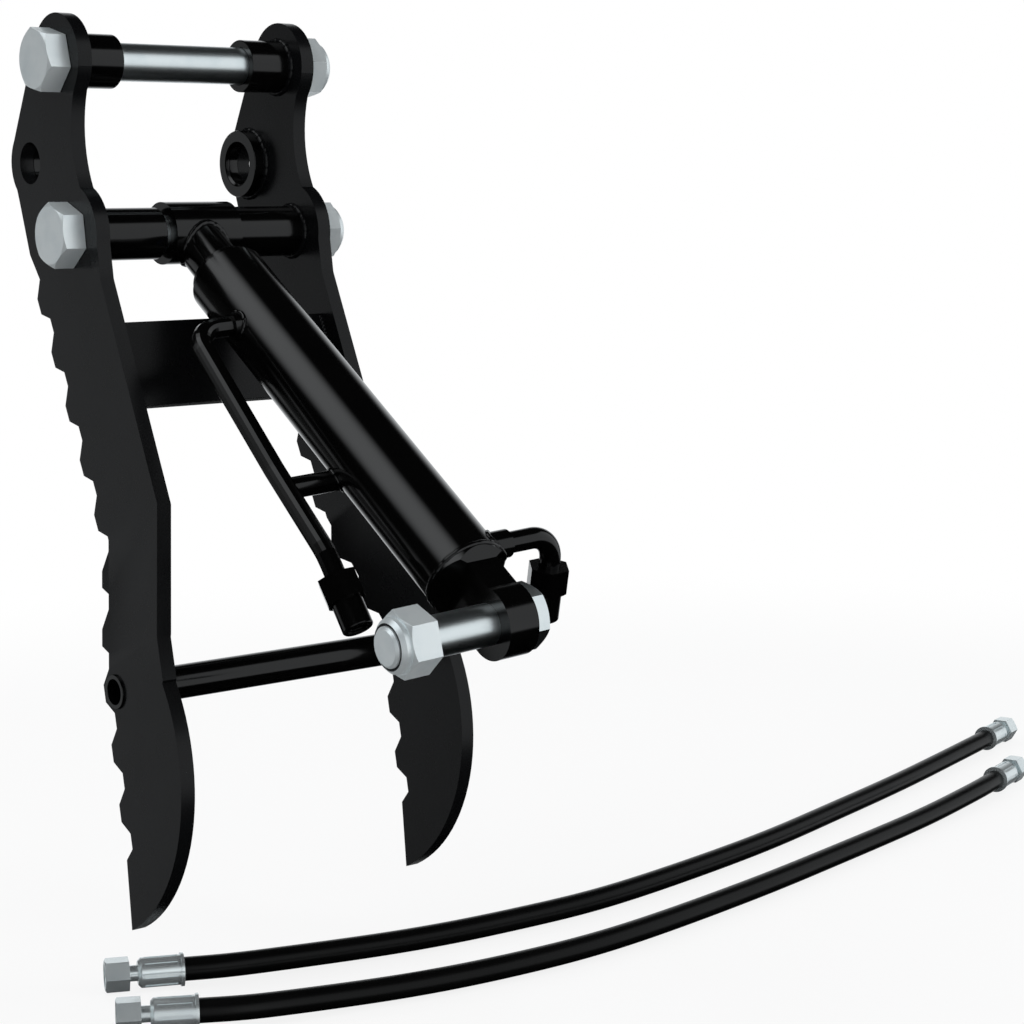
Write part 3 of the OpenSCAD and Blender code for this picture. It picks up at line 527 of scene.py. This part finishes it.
def make_finishes():
    paint, metal = sprayed_paint_group(), drawn_metal_group()
    return {
        "plate_paint": finish_from(
            paint, "satin black paint",
            {"Colour": grey(0.003, 0.05), "Cloud Colour": grey(0.004, 0.06), "Roughness": 0.27,
             "Roughness Spread": 0.05, "Peel Size": 700, "Peel Height": 0.05},
            Specular_IOR_Level=0.22),
        "gloss_paint": finish_from(
            paint, "gloss black paint",
            {"Colour": grey(0.001), "Cloud Colour": grey(0.0015), "Roughness": 0.14,
             "Roughness Spread": 0.04, "Peel Size": 420, "Peel Height": 0.02},
            Specular_IOR_Level=0.4),
        "zinc_plate": finish_from(
            metal, "bright zinc plate",
            {"Colour": (0.81, 0.87, 0.88, 1), "Stain Colour": (0.72, 0.79, 0.81, 1),
             "Line Stretch": (1, 45, 45), "Roughness": 0.38, "Roughness Spread": 0.1,
             "Line Height": 0.06, "Shank Shine": 0.06,
             "Hose End Shine": 0.13, "Hose End Metal": 0.78, "Metal": 0.55}),
        "chrome_rod": finish_from(
            metal, "hard chrome",
            {"Colour": grey(0.86), "Stain Colour": grey(0.8), "Line Stretch": (30, 30, 30),
             "Roughness": 0.09, "Roughness Spread": 0.05, "Line Height": 0.03}),
        "bare_steel": finish_from(
            metal, "turned steel",
            {"Colour": grey(0.5), "Stain Colour": grey(0.4), "Line Stretch": (60, 4, 4),
             "Roughness": 0.35, "Roughness Spread": 0.2, "Line Height": 0.2}),
        "nylon_insert": finish_from(
            paint, "dark nylon",
            {"Colour": grey(0.008, 0.1), "Cloud Colour": grey(0.012, 0.1), "Roughness": 0.5,
             "Roughness Spread": 0.1, "Peel Size": 500, "Peel Height": 0.1},
            Specular_IOR_Level=0.3),
        "seal_plastic": finish_from(
            paint, "seal plastic",
            {"Colour": (0.05, 0.09, 0.2, 1), "Cloud Colour": (0.06, 0.1, 0.22, 1),
             "Roughness": 0.4, "Roughness Spread": 0.1, "Peel Size": 500, "Peel Height": 0.05},
            Specular_IOR_Level=0.4),
        "hose_rubber": finish_from(
            paint, "hose rubber",
            {"Colour": grey(0.002), "Cloud Colour": grey(0.003), "Roughness": 0.3,
             "Roughness Spread": 0.08, "Peel Size": 1400, "Peel Height": 0.15},
            Specular_IOR_Level=0.15),
    }


finishes = None


# Pieces

def floor_finish():
    """Pale matt floor that keeps a soft shadow. To the camera it is nearly
    white, and quite white towards its rim."""
    material = bpy.data.materials.new("pale floor")
    material.use_nodes = True
    tree = material.node_tree
    shader = tree.nodes["Principled BSDF"]
    shader.inputs["Base Color"].default_value = (0.85, 0.85, 0.85, 1)
    shader.inputs["Roughness"].default_value = 0.9
    shader.inputs["Specular IOR Level"].default_value = 0.0
    white = add(tree, "ShaderNodeEmission")
    white.inputs["Color"].default_value = (1, 1, 1, 1)
    white.inputs["Strength"].default_value = 1.0
    place = add(tree, "ShaderNodeTexCoord")
    reach = add(tree, "ShaderNodeVectorMath", operation="LENGTH")
    rim = add(tree, "ShaderNodeMapRange", interpolation_type="SMOOTHSTEP")
    rim.inputs["From Min"].default_value = FLOOR_R * FLOOR_FADE[0]
    rim.inputs["From Max"].default_value = FLOOR_R * FLOOR_FADE[1]
    rim.inputs["To Min"].default_value = FLOOR_WHITENESS
    path = add(tree, "ShaderNodeLightPath")
    looked_at = add(tree, "ShaderNodeMath", operation="MAXIMUM")
    amount = add(tree, "ShaderNodeMath", operation="MULTIPLY")
    mix = add(tree, "ShaderNodeMixShader")
    link = tree.links.new
    link(place.outputs["Object"], reach.inputs[0])
    link(reach.outputs["Value"], rim.inputs["Value"])
    link(path.outputs["Is Camera Ray"], looked_at.inputs[0])
    link(path.outputs["Is Transmission Ray"], looked_at.inputs[1])
    link(looked_at.outputs[0], amount.inputs[0])
    link(rim.outputs["Result"], amount.inputs[1])
    link(amount.outputs[0], mix.inputs["Fac"])
    link(shader.outputs[0], mix.inputs[1])
    link(white.outputs[0], mix.inputs[2])
    link(mix.outputs[0], tree.nodes["Material Output"].inputs["Surface"])
    return material


def make_floor():
    """A round pale floor that the hoses' ferrules rest on."""
    mesh = bpy.data.meshes.new("floor")
    shape = bmesh.new()
    bmesh.ops.create_circle(shape, cap_ends=True, segments=96, radius=FLOOR_R)
    shape.to_mesh(mesh)
    shape.free()
    mesh.materials.append(floor_finish())
    floor = bpy.data.objects.new("floor", mesh)
    floor.location = (*FLOOR_MIDDLE, FLOOR_Z * MM)
    floor.visible_glossy = False
    bpy.context.scene.collection.objects.link(floor)


def sweep(name, path, radii, sides, closed):
    """A bead of the given radius at each point of the path, in millimetres."""
    count = len(path)
    shape = bmesh.new()
    rings = []
    side = None
    for i, centre in enumerate(path):
        before = path[i - 1] if closed or i else path[0]
        after = path[(i + 1) % count] if closed or i < count - 1 else path[-1]
        run = (after - before).normalized()
        side = run.orthogonal() if side is None else side - side.dot(run) * run
        side.normalize()
        up = run.cross(side)
        ring = []
        for k in range(sides):
            turn = 2 * math.pi * k / sides
            spoke = math.cos(turn) * side + math.sin(turn) * up
            ring.append(shape.verts.new((centre + radii[i] * spoke) * MM))
        rings.append(ring)
    pairs = list(zip(rings, rings[1:])) + ([(rings[-1], rings[0])] if closed else [])
    for first, second in pairs:
        shift = 0
        if first is rings[-1]:
            gaps = [(second[k].co - first[0].co).length for k in range(sides)]
            shift = gaps.index(min(gaps))
        for k in range(sides):
            n = (k + 1) % sides
            shape.faces.new((first[k], first[n], second[(n + shift) % sides],
                             second[(k + shift) % sides]))
    if not closed:
        shape.faces.new(list(reversed(rings[0])))
        shape.faces.new(rings[-1])
    bmesh.ops.recalc_face_normals(shape, faces=shape.faces)
    mesh = bpy.data.meshes.new(name)
    shape.to_mesh(mesh)
    shape.free()
    for polygon in mesh.polygons:
        polygon.use_smooth = True
    piece = bpy.data.objects.new(name, mesh)
    bpy.context.scene.collection.objects.link(piece)
    return piece


def make_weld(name, path, body, slot, closed=True, radius=WELD_R):
    """A weld seam with the overlapping ripples of its puddles."""
    rises = [(i % RIPPLE_STEPS) / RIPPLE_STEPS for i in range(len(path))]
    radii = [radius * (0.86 + 0.2 * rise ** 0.6) for rise in rises]
    weld = sweep("weld_" + name, path, radii, 8, closed)
    weld.data.materials.append(finishes[slot])
    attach(weld, body)


def circle(centre, radius, first, second, steps):
    """Points round a centre, from the first direction towards the second."""
    turns = [2 * math.pi * i / steps for i in range(steps)]
    return [centre + radius * (math.cos(a) * first + math.sin(a) * second) for a in turns]


def make_frame_welds():
    """The seams that hold the bosses, the cross plate and the tube."""
    toward_teeth, upward = Vector((0, 1, 0)), Vector((0, 0, 1))
    down = Vector((0, -math.sin(CROSS_PLATE_LEAN), -math.cos(CROSS_PLATE_LEAN)))
    through = Vector((0, math.cos(CROSS_PLATE_LEAN), -math.sin(CROSS_PLATE_LEAN)))
    for side, sign in (("left", -1), ("right", 1)):
        plate = Vector((sign * PLATE_INSIDE, 0, 0))
        low_plate = Vector((sign * LOWER_INSIDE, 0, 0))
        for name, pin, radius, foot in (
            ("pivot_boss", MAIN_PIN, PIVOT_BOSS_R, plate),
            ("middle_boss", MIDDLE_BORE, MIDDLE_BOSS_R, plate),
            ("rod_boss", ROD_PIN, ROD_BOSS_R, plate),
            ("cross_tube", CROSS_TUBE, CROSS_TUBE_R, low_plate),
        ):
            steps = RIPPLE_STEPS * round(radius * FRAME_RIPPLES)
            seam = circle(pin + foot, radius, toward_teeth, upward, steps)
            make_weld(f"{name}_{side}", seam, "thumb_frame", "plate_paint")
        for face, depth in (("back", 0), ("front", CROSS_PLATE_THICKNESS)):
            start = CROSS_PLATE_TOP + plate + depth * through
            length = CROSS_PLATE_WIDTH - 2 * SEAM_INSET
            seam = [start + down * (SEAM_INSET + length * i / SEAM_STEPS)
                    for i in range(SEAM_STEPS + 1)]
            make_weld(f"cross_plate_{face}_{side}", seam, "thumb_frame", "plate_paint",
                      closed=False)


def make_cylinder_welds():
    """The seams on the rod eye, the base lug, the ports and the strut."""
    turns = [2 * math.pi * i / SEAM_STEPS for i in range(SEAM_STEPS)]
    neck = []
    for a in turns:
        up = NECK_R * math.sin(a)
        along = math.sqrt(ROD_EYE_R ** 2 - up ** 2)
        neck.append(on_barrel(NECK_R * math.cos(a), up, along, roll=0))
    make_weld("rod_eye_neck", neck, "rod_group", "gloss_paint")
    end_r = BARREL_R - WELD_SUNK
    end = [on_barrel(end_r * math.cos(a), end_r * math.sin(a), BARREL_END) for a in turns]
    make_weld("base_lug", end, "barrel_group", "gloss_paint", radius=CAP_WELD_R)
    strut_up, strut_along = (w + STRUT_SHARE * (k - w) for w, k in zip(LINE_WAIST, LINE_KNEE))
    for name, sign, radius, up, along in (
        ("head_port", -1, PORT_R, *HEAD_PORT),
        ("base_port", 1, PORT_R, *BASE_PORT),
        ("stay_foot", -1, STRUT_R, strut_up, strut_along),
    ):
        steps = RIPPLE_STEPS * round(radius * PORT_RIPPLES)
        seam = []
        for i in range(steps):
            a = 2 * math.pi * i / steps
            out = up + radius * math.cos(a)
            seam.append(on_barrel(sign * math.sqrt(BARREL_R ** 2 - out ** 2), out,
                                  along + radius * math.sin(a)))
        make_weld(name, seam, "barrel_group", "gloss_paint", radius=PORT_WELD_R)


def make_thread(name, foot, direction, radius, length, body, slot):
    """The ridge of a thread inside a mouth."""
    side = direction.orthogonal().normalized()
    up = direction.cross(side)
    path = []
    for i in range(round(length / THREAD_PITCH * THREAD_STEPS) + 1):
        a = 2 * math.pi * i / THREAD_STEPS
        path.append(foot + direction * (THREAD_PITCH * i / THREAD_STEPS)
                    + (radius - THREAD_SUNK) * (math.cos(a) * side + math.sin(a) * up))
    ridge = sweep("thread_" + name, path, [THREAD_RIDGE_R] * len(path), 5, False)
    ridge.data.materials.append(finishes[slot])
    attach(ridge, body)


def make_threads():
    """The threads of the swivel nuts and of the hard lines' mouths."""
    for hose, (start, start_turn, _, finish, finish_turn) in HOSES.items():
        for end, place, turn in (("near", start, start_turn), ("far", finish, finish_turn)):
            foot = Vector((*place, END_AXIS_Z)) + NUT_THREAD_FROM * heading(turn)
            make_thread(f"{hose}_{end}", foot, heading(turn), NUT_THREAD_R,
                        NUT_THREAD_TO - NUT_THREAD_FROM, f"{hose}_{end}_nut", "zinc_plate")
    mouth_len = LINE_MOUTH_DEPTH - 2 * MOUTH_MARGIN
    knee, finish = (on_barrel(-LINE_OUT, *place) for place in (LINE_KNEE, LINE_FINISH))
    run = (finish - knee).normalized()
    foot = finish + run * (LINE_BODY - LINE_MOUTH_DEPTH + MOUTH_MARGIN)
    make_thread("head_line", foot, run, LINE_MOUTH_R, mouth_len, "barrel_group", "gloss_paint")
    corner = on_barrel(BASE_LINE_OUT, *BASE_PORT)
    below = on_barrel(BASE_LINE_OUT, BASE_PORT[0] - math.sin(BASE_LINE_DROP),
                      BASE_PORT[1] + math.cos(BASE_LINE_DROP))
    run = (below - corner).normalized()
    foot = corner + run * (BASE_LINE_MOUTH_AT - LINE_MOUTH_DEPTH + MOUTH_MARGIN)
    make_thread("base_line", foot, run, LINE_MOUTH_R, mouth_len, "barrel_group", "gloss_paint")


def soften_edges(shown, width):
    """Rounds a CAD piece's sharp edges a little and keeps its faces flat."""
    for polygon in shown.data.polygons:
        polygon.use_smooth = True
    weld = shown.modifiers.new("weld", "WELD")
    weld.merge_threshold = MERGE_WITHIN
    flat = shown.modifiers.new("flat faces", "DECIMATE")
    flat.decimate_type = "DISSOLVE"
    flat.angle_limit = FLAT_WITHIN
    bevel = shown.modifiers.new("rounded edges", "BEVEL")
    bevel.width = width * MM
    bevel.segments = 2
    bevel.limit_method = "ANGLE"
    bevel.angle_limit = ROUNDED_OVER
    bevel.use_clamp_overlap = True
    crease = shown.modifiers.new("crisp edges", "EDGE_SPLIT")
    crease.split_angle = CREASED_OVER
    even = shown.modifiers.new("even faces", "WEIGHTED_NORMAL")
    even.mode = "FACE_AREA"
    even.weight = 100


# How wide the edges of each piece are rounded, in millimetres
EDGE_WIDTHS = {
    "side_plate": 0.5, "cross_plate": 0.5, "pivot_boss": 0.7, "rod_boss": 0.7, "middle_boss": 0.5,
    "cross_tube": 0.4, "rod_eye": 0.8, "gland": 0.5, "barrel_tube": 0.4, "base_lug": 0.9,
    "main_bolt": 0.5, "rod_bolt": 0.5, "base_bolt": 0.5, "main_nut": 0.5, "rod_nut": 0.5,
    "base_nut": 0.5, "head_line_nut": 0.4, "base_line_nut": 0.4, "head_line_fitting": 0.4,
    "base_line_fitting": 0.4, "head_port": 0.4, "base_port": 0.4, "hose_1_nut": 0.3,
    "hose_2_nut": 0.3, "hose_1_ferrule": 0.25, "hose_2_ferrule": 0.25,
}
TWINS = ("", "_left", "_right", "_near", "_far")


def dress_nodes():
    """Gives each CAD piece its finish, and the outer ones rounded edges."""
    slots = {part["node"]: part["material_slot"] for part in frame["record"]["subparts"]}
    for name, shown in nodes.items():
        shown.data.materials.clear()
        shown.data.materials.append(finishes[slots[name]])
    for start, width in EDGE_WIDTHS.items():
        for twin in TWINS:
            if start + twin in nodes:
                soften_edges(nodes[start + twin], width)


def make_scene():
    global finishes
    scene = bpy.context.scene
    scene.view_settings.view_transform = "Standard"
    finishes = make_finishes()
    make_camera()
    make_hoses()
    make_world()
    for name, lamp in LAMPS.items():
        make_lamp(name, *lamp)
    make_floor()
    dress_nodes()
    make_frame_welds()
    make_cylinder_welds()
    make_threads()


make_scene()
